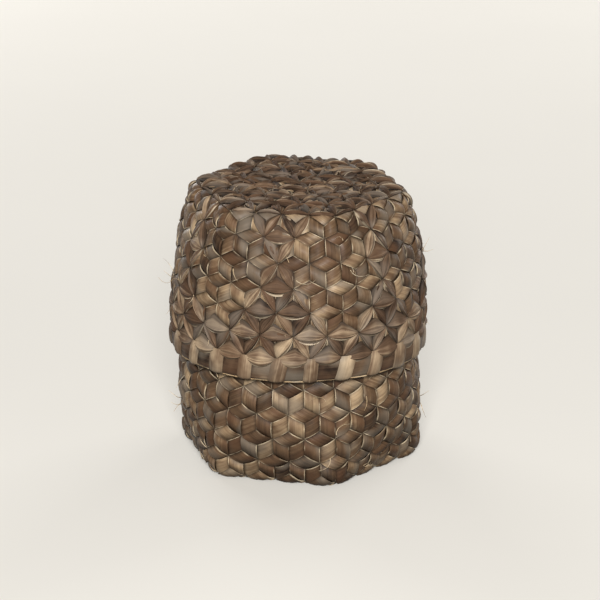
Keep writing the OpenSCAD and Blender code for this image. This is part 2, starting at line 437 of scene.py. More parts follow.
@dataclass
class Tubes:
    """Closed strips and leaves gathered into one mesh, each a row of rings with as many points."""

    # Cells across the texture layout, and the bare margin round each
    columns: int = 1
    margin: float = 0.03
    # Edges that turn by more than this are the leaf's cut edges
    sharp: float = math.radians(52)
    points: list[Array] = field(default_factory=list)
    lays: list[Array] = field(default_factory=list)
    tones: list[Array] = field(default_factory=list)
    dips: list[Array] = field(default_factory=list)

    def add(self, points: Array, lay: Array, tone: float | Array, dip: float | Array) -> None:
        """Adds one strip.

        Args:
            points: Its points in millimetres, rings by points of a ring by 3. A ring runs from the right
                to the left over the top and back underneath, seen along the strip.
            lay: Length along, width across and the strip's number, for each point.
            tone: How light the strip or each point of it is, from 0 to 1.
            dip: How far the strip or each point of it is darkened with soot and painted shade, from 0 to
                1.
        """
        self.points.append(points)
        self.lays.append(np.broadcast_to(lay, points.shape))
        self.tones.append(np.broadcast_to(tone, points.shape[:2]))
        self.dips.append(np.broadcast_to(dip, points.shape[:2]))

    def build(self, name: str) -> Piece:
        """Makes the mesh.

        Args:
            name: The name of the new piece.

        Returns:
            The piece, smooth but for its cut edges, with a texture layout of one cell for each strip.
        """
        faces: list[tuple[int, ...]] = []
        corners: list[Array] = []
        first = 0
        rows = math.ceil(len(self.points) / self.columns)
        for index, points in enumerate(self.points):
            cell = np.array([index % self.columns, index // self.columns])
            quads, layout = self._net(*points.shape[:2])
            faces += [tuple(first + corner for corner in quad) for quad in quads]
            corners.append((cell + self.margin + (1 - 2 * self.margin) * layout) / (self.columns, rows))
            first += points.shape[0] * points.shape[1]
        mesh = bpy.data.meshes.new(name)
        mesh.from_pydata(np.concatenate([p.reshape(-1, 3) for p in self.points]) * MM, [], faces)
        for attribute, kind, key, values in (
            ("lay", "FLOAT_VECTOR", "vector", self.lays),
            ("tone", "FLOAT", "value", self.tones),
            ("dip", "FLOAT", "value", self.dips),
        ):
            flat = np.concatenate([v.reshape(-1) for v in values]).astype(np.float32)
            mesh.attributes.new(attribute, kind, "POINT").data.foreach_set(key, flat)
        layer = mesh.uv_layers.new(name="OFBake")
        layer.data.foreach_set("uv", np.concatenate(corners).reshape(-1).astype(np.float32))
        mesh.shade_smooth()
        mesh.set_sharp_from_angle(angle=self.sharp)
        return add_object(name, mesh)

    @staticmethod
    def _net(rings: int, around: int) -> tuple[list[tuple[int, ...]], Array]:
        """Faces of one strip and their texture layout.

        Args:
            rings: Rings along the strip.
            around: Points of a ring.

        Returns:
            The faces, as points of the strip, and the layout of their corners within a unit square.
        """
        quads: list[tuple[int, ...]] = []
        layout: list[Pair] = []
        for i in range(rings - 1):
            here, ahead = i * around, (i + 1) * around
            low, high = i / (rings - 1), (i + 1) / (rings - 1)
            for k in range(around):
                k2 = (k + 1) % around
                quads.append((here + k, ahead + k, ahead + k2, here + k2))
                near, far = k / around, (k + 1) / around
                layout += [(low, near), (high, near), (high, far), (low, far)]
        for end, order in ((0, range(around)), (1, range(around)[::-1])):
            quads.append(tuple(end * (rings - 1) * around + k for k in order))
            layout += [(float(end), k / around) for k in order]
        return quads, np.array(layout)


@dataclass(frozen=True)
class Weave:
    """The three-way weave: every strip passes over the next set and under the one before it."""

    strip_w: float = 6.0
    side_strips: int = 8
    strip_t: float = 0.35
    # Height of a bulge and depth under the neighbours, then how far a bulge falls to its edges, how full
    # it is, and how far bulges differ
    crest: float = 1.15
    dip: float = 0.35
    crown: float = 0.3
    swell: float = 2.0
    unevenness: float = 0.45
    # Where a strip is deepest under its neighbours, at its right edge and at its left
    deepest: Pair = (0.75, 0.25)

    @property
    def span(self) -> float:
        """Length of one visible span of a strip."""
        return 2 * self.strip_w / math.sqrt(3)

    @property
    def side(self) -> float:
        """Length of one side of the hexagon that the strips span."""
        return self.strip_w * self.side_strips

    @property
    def apothem(self) -> float:
        """Distance from the middle of that hexagon to its sides."""
        return self.side * math.cos(SIXTH / 2)

    @property
    def pitch(self) -> float:
        """Distance between the points where six strips meet."""
        return 2 * self.strip_w

    @property
    def row(self) -> float:
        """Distance between rows of those points."""
        return self.pitch * math.sin(SIXTH)

    def _repeat_start(self, s: Array, t: Array, number: int) -> Array:
        """Length along a strip from where one of its repeats, of three spans, starts."""
        return s - 1.5 * self.span * (number % 2) - self.span * t / 2

    def span_number(self, s: Array, t: Array, number: int) -> Array:
        """Which visible span a point belongs to, changing over halfway under the neighbours."""
        return np.floor((self._repeat_start(s, t, number) + self.span) / (3 * self.span))

    def level(self, s: Array, t: Array, number: int, seed: float) -> Array:
        """Height of a strip above the middle of the weave.

        Args:
            s: Length along the strip.
            t: Place across it, from 0 at its right edge to 1 at its left.
            number: The strip's place in its set.
            seed: What makes its bulges uneven.

        Returns:
            The height: it bulges over one span, then runs under its neighbours for two.
        """
        x = self._repeat_start(s, t, number)
        repeat = np.floor(x / (3 * self.span))
        x = x - 3 * self.span * repeat
        bulge = self.crest * (1 - np.abs(np.clip(2 * x / self.span - 1, -1, 1)) ** self.swell)
        bulge = bulge * (1 - self.crown * (2 * t - 1) ** 2)
        y = (x - self.span) / (2 * self.span)
        deepest = mix(*self.deepest, t)
        fall = np.where(y < deepest, y / deepest, (1 - y) / (1 - deepest))
        under = -self.dip * np.sin(np.clip(fall, 0, 1) * math.pi / 2)
        uneven = 1 + self.unevenness * (scatter(repeat, seed) - 0.5)
        return np.where(x <= self.span, bulge, under) * uneven


class Hand(IntEnum):
    """Which way round its sides a vessel counts: the lid's weave is the mirror image of the body's."""

    LEFT = 1
    RIGHT = -1


@dataclass(frozen=True)
class Swell:
    """A slow wave round a wall: how many times it comes round, the height over which it slants by one
    radian, its start and its strength."""

    waves: int
    slant_z: float
    start: float
    strength: float


@dataclass
class Vessel:
    """The smooth shape of a woven vessel, by the lattice of its strips.

    A point of the lattice is given flat: the side of the hexagon it belongs to, u along that side and v
    out from it, so that v below 0 is the flat end of the vessel and v above 0 its wall.
    """

    weave: Weave
    outer_apothem: float
    corner_r: float
    hand: Hand
    turn: float = 0.0
    stand_z: float = 0.0
    least_corner_r: float = 0.1
    # How far apart the points lie that the surface's normal is taken from
    probe: float = 0.4
    # Body and lid have worn to each other's shape, so that both follow the same swells, from none near
    # the axis to full at the wall
    waver: float = 0.4
    waver_r: Pair = (20.0, 45.0)
    swells: tuple[Swell, ...] = (Swell(3, 17.0, 0.0, 1.0), Swell(5, -11.0, 1.3, 0.7))

    def end_profile(self, d: Array, depth: float) -> tuple[Array, Array]:
        """Height and inset on the flat end, d in from its edge."""
        raise NotImplementedError

    def wall_profile(self, v: Array, depth: float) -> tuple[Array, Array]:
        """Height and inset on the wall, v out from the edge."""
        raise NotImplementedError

    def hexness(self, height: Array) -> Array:
        """How far the section is a hexagon, from 0 to 1."""
        raise NotImplementedError

    def round_r(self, height: Array) -> Array:
        """Radius of the round section."""
        raise NotImplementedError

    @staticmethod
    def hexagon_r(angle: Array, apothem: Array, corner_r: Array) -> Array:
        """Radius of a hexagon with rounded corners, which point along 0, 60 and 120 degrees and so on.

        Args:
            angle: Angles, in radians.
            apothem: Distance to the flats.
            corner_r: Radius of the corners.

        Returns:
            The radius at each angle.
        """
        off_flat = np.abs(np.mod(angle, SIXTH) - SIXTH / 2)
        off_corner = SIXTH / 2 - off_flat
        corner = (apothem - corner_r) / math.cos(SIXTH / 2)
        bend = corner_r**2 - (corner * np.sin(off_corner)) ** 2
        rounded = corner * np.cos(off_corner) + np.sqrt(np.maximum(bend, 0))
        flat = apothem * np.tan(off_flat) <= (apothem - corner_r) * math.tan(SIXTH / 2)
        return np.where(flat, apothem / np.cos(off_flat), rounded)

    def place(self, side: int, u: Array, v: Array, depth: float) -> Array:
        """Where points of the flat lattice lie on the vessel.

        Args:
            side: The side of the hexagon.
            u: Distance along the side.
            v: Distance out from it.
            depth: How far below the outer face the points lie.

        Returns:
            The points, in millimetres.
        """
        weave = self.weave
        normal = SIXTH * (side + 0.5)
        x = (weave.apothem + v) * math.cos(normal) + u * math.sin(normal)
        y = (weave.apothem + v) * math.sin(normal) - u * math.cos(normal)
        end_angle = np.arctan2(y, x)
        off_flat = np.abs(np.mod(end_angle, SIXTH) - SIXTH / 2)
        inwards = weave.apothem - np.hypot(x, y) * np.cos(off_flat)
        end_height, end_inset = self.end_profile(np.maximum(inwards, 0), depth)
        wall_height, wall_inset = self.wall_profile(np.maximum(v, 0), depth)
        on_wall = v > 0
        height = np.where(on_wall, wall_height, end_height)
        inset = np.where(on_wall, wall_inset, end_inset)
        hexness = np.where(on_wall, self.hexness(height), 1.0)
        round_angle = normal - u * SIXTH / weave.side
        panel = (np.round(round_angle / SIXTH - 0.5) + 0.5) * SIXTH
        flat_angle = panel - np.arctan((panel - round_angle) * weave.side / SIXTH / weave.apothem)
        angle = np.where(on_wall, mix(round_angle, flat_angle, hexness), end_angle)
        corner_r = np.maximum(self.corner_r - inset, self.least_corner_r)
        hexagon = self.hexagon_r(angle, self.outer_apothem - inset, corner_r)
        radius = mix(self.round_r(height) - inset, hexagon, hexness)
        angle = self.hand * angle + self.turn
        return np.stack([radius * np.cos(angle), radius * np.sin(angle), self.stand_z + height], axis=-1)

    def lifted(self, side: int, u: Array, v: Array, depth: float, lift: Array) -> Array:
        """Points of the flat lattice, lifted off the vessel along its normal and made a little uneven.

        Args:
            side: The side of the hexagon.
            u: Distance along the side.
            v: Distance out from it.
            depth: How far below the outer face the surface lies.
            lift: How far each point is lifted off it.

        Returns:
            The points, in millimetres, none of them below the floor.
        """
        reach = self.probe
        along = self.place(side, u + reach, v, depth) - self.place(side, u - reach, v, depth)
        out = self.place(side, u, v + reach, depth) - self.place(side, u, v - reach, depth)
        normal = np.cross(along, out)
        normal /= np.maximum(np.linalg.norm(normal, axis=-1, keepdims=True), 1e-9)
        points = self.place(side, u, v, depth) + normal * lift[..., None]
        points = points + self.sway(points)
        points[..., 2] = np.maximum(points[..., 2], 0)
        return points

    def sway(self, points: Array) -> Array:
        """The unevenness of hand work: slow dents and swells of the wall, none at the flat end's middle.

        Args:
            points: Points of the vessel, in millimetres.

        Returns:
            What is added to each.
        """
        x, y, z = points[..., 0], points[..., 1], points[..., 2]
        radius = np.maximum(np.hypot(x, y), 1e-6)
        angle = np.arctan2(y, x)
        swell = sum(w.strength * np.sin(w.waves * angle + z / w.slant_z + w.start) for w in self.swells)
        push = self.waver * swell * share(radius, *self.waver_r) / radius
        return np.stack([x * push, y * push, np.zeros_like(x)], axis=-1)


@dataclass
class BodyShape(Vessel):
    """The body: hexagonal at the base, round from a third of its height, drawn in to the mouth."""

    outer_apothem: float = 44.2
    corner_r: float = 8.5
    hand: Hand = Hand.RIGHT
    base_edge_r: float = 4.0
    # The height at which the section is round, and those between which it is drawn in
    round_z: float = 36.0
    draw_z: float = 16.0
    taper_z: float = 84.2
    girth_r: float = 50.08
    mouth_wall_r: float = 43.63

    def _half_bend(self, depth: float) -> float:
        """Half the length of the bend round the base edge."""
        return (self.base_edge_r - depth) * math.pi / 4

    def _bend(self, turn: Array, depth: float) -> tuple[Array, Array]:
        """Height and inset on the bend, turned so far from the base to the wall."""
        bend_r = self.base_edge_r - depth
        return depth + bend_r * (1 - np.cos(turn)), depth + bend_r * (1 - np.sin(turn))

    def end_profile(self, d: Array, depth: float) -> tuple[Array, Array]:
        """The section of the base.

        Args:
            d: Distance in from its edge.
            depth: How far below the outer face the section lies.

        Returns:
            Height and inset.
        """
        half = self._half_bend(depth)
        height, inset = self._bend(math.pi / 4 * (1 - np.minimum(d / half, 1)), depth)
        scale = (self.outer_apothem - self.base_edge_r) / (self.weave.apothem - half)
        return height, inset + np.maximum(d - half, 0) * scale

    def wall_profile(self, v: Array, depth: float) -> tuple[Array, Array]:
        """The section of the wall.

        Args:
            v: Distance up from the base edge.
            depth: How far below the outer face the section lies.

        Returns:
            Height and inset.
        """
        half = self._half_bend(depth)
        bend_z, inset = self._bend(math.pi / 4 * (1 + np.minimum(v / half, 1)), depth)
        wall_z = v + (self.base_edge_r - half) * (1 - ease(share(v, half, self.weave.row)))
        return np.where(v < half, bend_z, wall_z), inset

    def hexness(self, height: Array) -> Array:
        """How far the section is a hexagon, from 0 to 1."""
        return (1 - share(height, self.base_edge_r, self.round_z)) ** 2

    def round_r(self, height: Array) -> Array:
        """Radius of the round section."""
        return mix(self.girth_r, self.mouth_wall_r, ease(share(height, self.draw_z, self.taper_z)))


@dataclass
class LidShape(Vessel):
    """The cap lid: round and slightly bellied at the rim, hexagonal at its top, and a little turned on
    the body. Heights run up from the rim."""

    outer_apothem: float = 40.0
    corner_r: float = 11.0
    hand: Hand = Hand.LEFT
    turn: float = math.radians(2.5)
    # The bend round the top edge, and the lean of the wall where it starts
    edge_r: float = 7.0
    edge_a: float = math.radians(25)
    lid_h: float = 66.0
    rim_wall_r: float = 50.85
    # How far the wall bellies out, the height where it has, and the one where that starts
    belly: float = 0.2
    belly_v: float = 17.0
    band_v: float = 9.0
    # Where the section starts to be a hexagon, and how slowly it becomes one
    hex_v: float = 15.0
    hex_power: float = 2.3
    # The first row of lattice points below the top, and the distance between rows
    top_row_v: float = 57.0
    lid_row: float = 9.5

    @property
    def edge_centre_v(self) -> float:
        """Height of the middle of the bend round the top edge."""
        return self.lid_h - self.edge_r

    @property
    def edge_in(self) -> float:
        """Inset of the flat top."""
        return self.edge_r * math.cos(self.edge_a)

    def _bend(self, d: Array, depth: float) -> tuple[Array, Array, Array, float]:
        """The section of the bend round the top edge.

        Args:
            d: Distance from the middle of the bend, towards the top.
            depth: How far below the outer face the section lies.

        Returns:
            Height, inset, how far d runs on past the bend, and half the length of the bend.
        """
        half_a = (math.pi / 2 - self.edge_a) / 2
        half = (self.edge_r - depth) * half_a
        turn = self.edge_a + half_a * (1 + np.clip(d / half, -1, 1))
        height = self.edge_centre_v + (self.edge_r - depth) * np.sin(turn)
        inset = self.edge_in - (self.edge_r - depth) * np.cos(turn)
        return height, inset, np.maximum(np.abs(d) - half, 0), half

    def end_profile(self, d: Array, depth: float) -> tuple[Array, Array]:
        """The section of the top.

        Args:
            d: Distance in from its edge.
            depth: How far below the outer face the section lies.

        Returns:
            Height and inset.
        """
        height, inset, spare, half = self._bend(d, depth)
        scale = (self.outer_apothem - self.edge_in) / (self.weave.apothem - half)
        return height, inset + spare * scale

    def wall_profile(self, v: Array, depth: float) -> tuple[Array, Array]:
        """The section of the wall.

        Args:
            v: Distance down from the top edge.
            depth: How far below the outer face the section lies.

        Returns:
            Height and inset.
        """
        height, inset, spare, half = self._bend(-v, depth)
        first = share(spare, 0, self.weave.row - half)
        below = np.maximum(v - self.weave.row, 0) / self.weave.row
        return mix(height, self.top_row_v, first) - below * self.lid_row, inset

    def hexness(self, height: Array) -> Array:
        """How far the section is a hexagon, from 0 to 1."""
        edge_v = self.edge_centre_v + self.edge_r * math.sin(self.edge_a)
        return share(height, self.hex_v, edge_v) ** self.hex_power

    def round_r(self, height: Array) -> Array:
        """Radius of the round section."""
        return self.rim_wall_r + self.belly * ease(share(height, self.band_v, self.belly_v))

    def wall_v(self, height: float) -> float:
        """The v of a height on the wall, below the first row of lattice points."""
        return self.weave.row * (1 + (self.top_row_v - height) / self.lid_row)


class Face(IntEnum):
    """Which way the bulges of a woven layer look, out or into the vessel."""

    OUT = 1
    IN = -1


@dataclass
class WovenLayer:
    """One woven layer of a vessel: three sets of strips that cross its flat end and run up its wall."""

    vessel: Vessel
    depth: float
    end_v: float
    face: Face = Face.OUT
    # Rings along a strip, as a share of a span, and points across it, as shares of its width
    step: float = 0.1
    across: tuple[float, ...] = (0.0, 0.2, 0.5, 0.8, 1.0)
    # A strip's edges draw in by a share of its width that comes and goes (strength, length and phase of
    # each wave), and its middle wanders
    narrow: float = 0.012
    edge_waves: tuple[tuple[float, float, float], ...] = ((0.8, 23.0, 1.0), (0.5, 9.0, 2.0))
    wander: float = 0.03
    wander_l: float = 17.0
    wander_phase: float = 2.3
    # The weave lies flatter where the folds of the rim hold it
    calm: float = 0.6
    calm_v: float = 8.0
    calm_w: float = 6.0
    # Soot and painted shade set in below this share of a crest and are full at this share of a dip
    soot_and_shade_crest: float = 0.45
    soot_and_shade_dip: float = 0.4
    # A dark line painted round the wall as the shadow of the lid's rim, none unless it is given a place:
    # its strength, its place, half its width and the share of that at full strength
    rim_shadow: float = 0.8
    rim_shadow_v: float = -math.inf
    rim_shadow_w: float = 2.0
    rim_shadow_core: float = 0.4
    # How much of its tone a strip has all along, the rest changing from span to span
    strip_tone: float = 0.25
    seed: int = 0
    set_seed: float = 3.1
    strip_seed: float = 17.0
    span_seed: float = 7.3

    def build(self, name: str, set_number: int) -> Piece:
        """Makes one set of parallel strips.

        Args:
            name: The name of the new piece.
            set_number: Which of the three sets, 0 to 2.

        Returns:
            The piece.
        """
        tubes = Tubes()
        half_count = self.vessel.weave.side_strips
        for number in range(-half_count, half_count):
            self._strip(tubes, set_number, number)
        return tubes.build(name)

    def _way_out(self, direction: float, offset: float, ahead: float) -> tuple[int, float]:
        """Where a strip's middle line leaves the hexagon.

        Args:
            direction: The strip's direction.
            offset: How far left of the middle it runs.
            ahead: 1 for its far end, -1 for its near end.

        Returns:
            The side it leaves by, and the length along the strip at which the layer ends there.
        """
        exits = []
        for side in range(6):
            lean = SIXTH * (side + 0.5) - direction
            if math.cos(lean) * ahead > 1e-6:
                cross = (self.vessel.weave.apothem - offset * math.sin(lean)) / math.cos(lean)
                end = cross + self.end_v / math.cos(lean)
                exits.append((abs(cross), side, end))
        _, side, end = min(exits)
        return side, end

    def _flat(self, side: int, direction: float, offset: Array, s: Array) -> tuple[Array, Array]:
        """Flat lattice coordinates of a strip.

        Args:
            side: The side of the hexagon that they are given from.
            direction: The strip's direction.
            offset: How far left of the middle each point lies.
            s: Length along the strip.

        Returns:
            Distance along the side and distance out from it.
        """
        lean = SIXTH * (side + 0.5) - direction
        u = s * math.sin(lean) - offset * math.cos(lean)
        return u, s * math.cos(lean) + offset * math.sin(lean) - self.vessel.weave.apothem

    def _strip(self, tubes: Tubes, set_number: int, number: int) -> None:
        """Adds one strip.

        Args:
            tubes: What the strip is added to.
            set_number: Which of the three sets.
            number: Which strip of the set.
        """
        weave = self.vessel.weave
        seed = self.seed + self.set_seed * set_number + self.strip_seed * number
        direction = SIXTH * (set_number + 0.5)
        middle = weave.strip_w * (number + 0.5)
        (back, start), (front, end) = (self._way_out(direction, middle, way) for way in (-1, 1))
        steps = math.ceil((end - start) / (weave.span * self.step))
        s = np.linspace(start, end, steps + 1)[:, None]
        waves = (a * np.sin(s / length + phase * seed) for a, length, phase in self.edge_waves)
        edge = self.narrow * sum(waves, 1)
        across = np.array(self.across)
        wander = self.wander * np.sin(s / self.wander_l + self.wander_phase * seed)
        t = edge + (1 - 2 * edge) * across + wander
        s = np.broadcast_to(s, t.shape)
        level = weave.level(s, t, number, seed)
        flats = [self._flat(side, direction, weave.strip_w * (number + t), s) for side in (back, front)]
        up = np.maximum(flats[0][1], flats[1][1])
        calm_end = self.end_v - self.calm_v
        calm = 1 - self.calm * share(up, calm_end - self.calm_w, calm_end)
        order = slice(None, None, self.face)
        ring, under = STRIP_RING[order], STRIP_UNDER[order]
        lift = self.face * ((level * calm)[:, ring] + weave.strip_t * (0.5 - under))
        near, far = (
            self.vessel.lifted(side, u[:, ring], v[:, ring], self.depth, lift)
            for side, (u, v) in zip((back, front), flats)
        )
        points = np.where((s < 0)[:, ring, None], near, far)
        width = np.broadcast_to((2 * across - 1) * weave.strip_w * (0.5 - self.narrow), t.shape)
        spans = weave.span_number(s, t, number)
        lay = np.stack([s, width, seed + self.span_seed * spans], axis=-1)[:, ring]
        # Painted shadow of the lid's rim: a dark line round the wall
        off_line = share(np.abs(up - self.rim_shadow_v), self.rim_shadow_core * self.rim_shadow_w, self.rim_shadow_w)
        # Soot and painted shade where the strip runs low under its neighbours
        sooty_and_shaded = share(-level, -self.soot_and_shade_crest * weave.crest, self.soot_and_shade_dip * weave.dip)
        dip = np.maximum(sooty_and_shaded, self.rim_shadow * (1 - ease(off_line)))[:, ring]
        span_tone = (1 - self.strip_tone) * scatter(spans, seed, 5.0)
        tubes.add(points, lay, (self.strip_tone * scatter(seed, 2.0) + span_tone)[:, ring], dip)


@dataclass(frozen=True)
class Petal:
    """A star petal's section: reach of its lip and of its back from its axis, height of its crest, where
    the crest lies from the back at -1 to the lip at 1, how it rises to the crest, how far it drops to
    the lip, and how pointed its back is."""

    lip: float
    back: float
    crest: float
    ridge: float
    rise: float
    drop: float
    pointed: float

    def height(self, c: Array) -> Array:
        """Height of the section.

        Args:
            c: Place across the petal, from its back at -1 to its lip at 1.

        Returns:
            The height at each place.
        """
        back = np.clip((1 + c) / (1 + self.ridge), 0, 1) ** self.rise
        front = 1 - self.drop * np.clip((c - self.ridge) / (1 - self.ridge), 0, 1) ** 2
        return self.crest * np.where(c < self.ridge, back, front)


class PetalCut(Enum):
    """How the petals are folded: hoods with their underlips, plump and ridged ones on the wall; crests,
    curled ones, slivers and thin loops on the top."""

    HOOD = Petal(2.4, 6.0, 1.4, 0.5, 0.8, 0.5, 0.8)
    LOW_HOOD = Petal(3.4, 6.0, 1.6, 0.5, 0.8, 0.45, 0.8)
    UNDERLIP = Petal(3.0, 1.0, 0.75, 0.4, 0.8, 0.5, 0.3)
    PLUMP = Petal(1.4, 3.6, 1.15, 0.3, 0.8, 0.6, 0.3)
    RIDGED = Petal(1.1, 3.3, 1.35, 0.55, 1.2, 0.85, 0.3)
    CREST = Petal(1.1, 3.8, 1.45, 0.93, 1.5, 0.15, 0.6)
    CURLED = Petal(1.0, 2.7, 1.3, 0.9, 1.4, 0.2, 0.4)
    SLIVER = Petal(0.8, 2.4, 1.4, 0.85, 1.5, 0.3, 0.45)
    LOOP = Petal(0.2, 0.25, 1.45, 0.1, 0.9, 0.5, 0.2)


@dataclass
class Stars:
    """Relief stars of the lid: folded leaf petals between the points where six strips meet. They cover
    the top and the rows next to the rim, and climb from there to the top in columns."""

    shape: LidShape
    # Rows of stars from the rim up, the lowest of them full, and columns, counted in stars round the lid
    rows: int = 6
    full_rows: int = 2
    count: int = 24
    columns: int = 7
    column_step: float = 3.5
    # The first column stands at -142.5 degrees, at 15 degrees a star
    column_start: float = -142.5 / 15
    # How far either side of a column's middle it has stars, in its first row and above
    wide_share: float = 1.05
    narrow_share: float = 0.55
    # Rings along a petal and points across it
    rings: int = 15
    across: int = 13
    leaf_t: float = 0.3
    seat: float = 0.15
    # How far lips, backs, crests and the widest place differ from petal to petal
    lip_spread: Pair = (0.75, 1.25)
    back_spread: Pair = (0.85, 1.1)
    crest_spread: Pair = (0.75, 1.25)
    peak_spread: Pair = (0.38, 0.62)
    # The first and last ring, just off the lattice points
    reach_x: Pair = (0.02, 0.98)
    # How blunt the ends of the arch and of the lip are
    arch_power: float = 0.6
    lip_power: float = 0.75
    splay: float = 0.12
    # Creases along the petal: their height, a coarse and a finer set, and how the finer one slants
    wrinkle: float = 0.16
    creases: Pair = (6.0, 10.0)
    fine_crease: float = 0.8
    crease_slant: float = 3.0
    # Half the width of a petal's back in its texture layout, too little for a pale edge
    back_half_w: float = 2.2
    # Painted shade at the pinched ends and at the back
    pinch: float = 2.5
    pinch_shade: float = 0.75
    back_shade: float = 0.9
    tone_blend: float = 0.3
    # The top's petals are shaken off their places, painted with shade past their middles, and darker
    # than those of the wall, the outermost least, as painted shade where the top takes more light
    jumble: float = 1.8
    top_shadow: float = 0.35
    top_shade: float = 0.4
    edge_shade: float = 0.85
    edge_rings: float = 1.5
    # Loops on the top: half their length, how far askew, where along a petal and how far beside it
    loop_half_l: Pair = (3.6, 8.4)
    loop_askew: float = math.radians(40)
    loop_place: Pair = (0.25, 0.75)
    loop_beside: float = 6.0
    loop_shade: float = 0.9
    # What sets the chances of one petal, and of a second fold beside it, off from the next one's
    shake_key: int = 5
    petal_key: int = 9
    second_key: float = 0.3
    grain_keys: Pair = (7.0, 31.0)
    seed: int = 3

    def build_top(self, name: str) -> Piece:
        """Makes the petals of the flat top, out to its edge, and loops between all but the outermost.

        Args:
            name: The name of the new piece.

        Returns:
            The piece.
        """
        weave = self.shape.weave
        tubes = Tubes(columns=12)
        reach = weave.side_strips // 2
        cuts = (PetalCut.CREST, PetalCut.CURLED, PetalCut.SLIVER)
        steps = [weave.pitch * np.array([math.cos(SIXTH * k), math.sin(SIXTH * k)]) for k in range(3)]
        neighbours = ((1, 0), (0, 1), (-1, 1))
        places = [(i, j) for i in range(-reach, reach + 1) for j in range(-reach, reach + 1)]
        for i, j in places:
            here = i * steps[0] + j * steps[1]
            for k, (cut, step, (di, dj)) in enumerate(zip(cuts, steps, neighbours)):
                ends = [self._rings_out(i, j), self._rings_out(i + di, j + dj)]
                if max(ends) > reach:
                    continue
                # The third set runs back, so that the lips of all three look the same way
                start, way = (here + step, -step) if k == 2 else (here, step)
                shakes = chances(4, i + self.shake_key * j, k)
                shake = [self.jumble * (chance - 0.5) for chance in shakes]
                start, end = self._flat(start), self._flat(start + way)
                outward = share(sum(ends) / 2, reach - self.edge_rings, reach)
                # Painted shade: the top's petals are darkened, those near its edge less
                shade = mix(self.top_shade, self.edge_shade, outward)
                key = i + self.petal_key * j
                self._petal(
                    tubes, cut, start + shake[:2], end + shake[2:], (key, k), self.top_shadow, shade
                )
                if max(ends) < reach:
                    self._loop(tubes, start, end, (key + self.second_key, k))
        return tubes.build(name)

    def build_wall(self, name: str) -> Piece:
        """Makes the petals of the wall: full rows above the rim and columns that climb to the top.

        Args:
            name: The name of the new piece.

        Returns:
            The piece.
        """
        tubes = Tubes(columns=16)
        for row in range(1, self.rows + 1):
            for n in range(self.count):
                place = n + self._shift(row)
                if not self._starred(row, place):
                    continue
                here = self._point(row, place)
                if self._starred(row, place + 1):
                    there = self._point(row, place + 1)
                    cut = PetalCut.HOOD if row > 1 else PetalCut.LOW_HOOD
                    self._petal(tubes, cut, there, here, (row, place))
                    if row > 1:
                        key = (row + self.second_key, place)
                        self._petal(tubes, PetalCut.UNDERLIP, there, here, key)
                for turn, cut in ((-0.5, PetalCut.RIDGED), (0.5, PetalCut.PLUMP)):
                    if self._starred(row + 1, place + turn):
                        there = self._point(row + 1, place + turn)
                        ends = (there, here) if turn > 0 else (here, there)
                        self._petal(tubes, cut, *ends, (row + turn, place))
        return tubes.build(name)

    @staticmethod
    def _rings_out(i: int, j: int) -> int:
        """Steps from the middle of the top to a lattice point."""
        return max(abs(i), abs(j), abs(i + j))

    def _flat(self, point: Array) -> Array:
        """Flat lattice coordinates of a point of the top.

        Args:
            point: The point, from the middle of the top.

        Returns:
            Its u and v, from the first side.
        """
        normal = SIXTH * (FIRST_SIDE + 0.5)
        u = point[0] * math.sin(normal) - point[1] * math.cos(normal)
        v = point[0] * math.cos(normal) + point[1] * math.sin(normal) - self.shape.weave.apothem
        return np.array([u, v])

    def _shift(self, row: int) -> float:
        """Every second row is shifted by half a star."""
        return (self.rows + 1 - row) % 2 / 2

    def _point(self, row: int, place: float) -> Array:
        """Flat lattice coordinates of a lattice point of the wall.

        Args:
            row: Its row, counted up from the rim.
            place: Its place in the row, in stars.

        Returns:
            Its u and v, from the first side.
        """
        weave = self.shape.weave
        around = place * weave.pitch - weave.side / 2
        return np.array([-around, (self.rows + 1 - row) * weave.row])

    def _starred(self, row: int, place: float) -> bool:
        """Whether a lattice point of the wall has a whole star.

        Args:
            row: Its row, counted up from the rim.
            place: Its place in the row, in stars.

        Returns:
            True in the full rows, in the columns and at the top's edge.
        """
        if row <= self.full_rows or row > self.rows:
            return True
        steps = [place - self.column_start - k * self.column_step for k in range(self.columns)]
        off_column = min(abs(d - self.count * round(d / self.count)) for d in steps)
        return off_column < (self.wide_share if row == self.full_rows + 1 else self.narrow_share)

    @staticmethod
    def _heading(start: Array, end: Array) -> tuple[Array, Array, float]:
        """The way from one point to another.

        Args:
            start: The first point.
            end: The second.

        Returns:
            The direction, the direction to its left, and the distance.
        """
        length = float(np.linalg.norm(end - start))
        way = (end - start) / length
        return way, np.array([-way[1], way[0]]), length

    def _loop(self, tubes: Tubes, start: Array, end: Array, key: Pair) -> None:
        """Adds one short, thin fold of leaf that stands askew beside a petal.

        Args:
            tubes: What the fold is added to.
            start: The lattice point that the petal starts at.
            end: The lattice point that it ends at.
            key: Two numbers that make the fold differ from its neighbours.
        """
        along, beside, lean, long = chances(4, key[0], key[1] + 0.5)
        way, left, _ = self._heading(start, end)
        middle = mix(start, end, mix(*self.loop_place, along)) + self.loop_beside * (beside - 0.5) * left
        askew = self.loop_askew * (2 * lean - 1)
        reach = mix(*self.loop_half_l, long) * (math.cos(askew) * way + math.sin(askew) * left)
        self._petal(tubes, PetalCut.LOOP, middle - reach, middle + reach, key, shade=self.loop_shade)

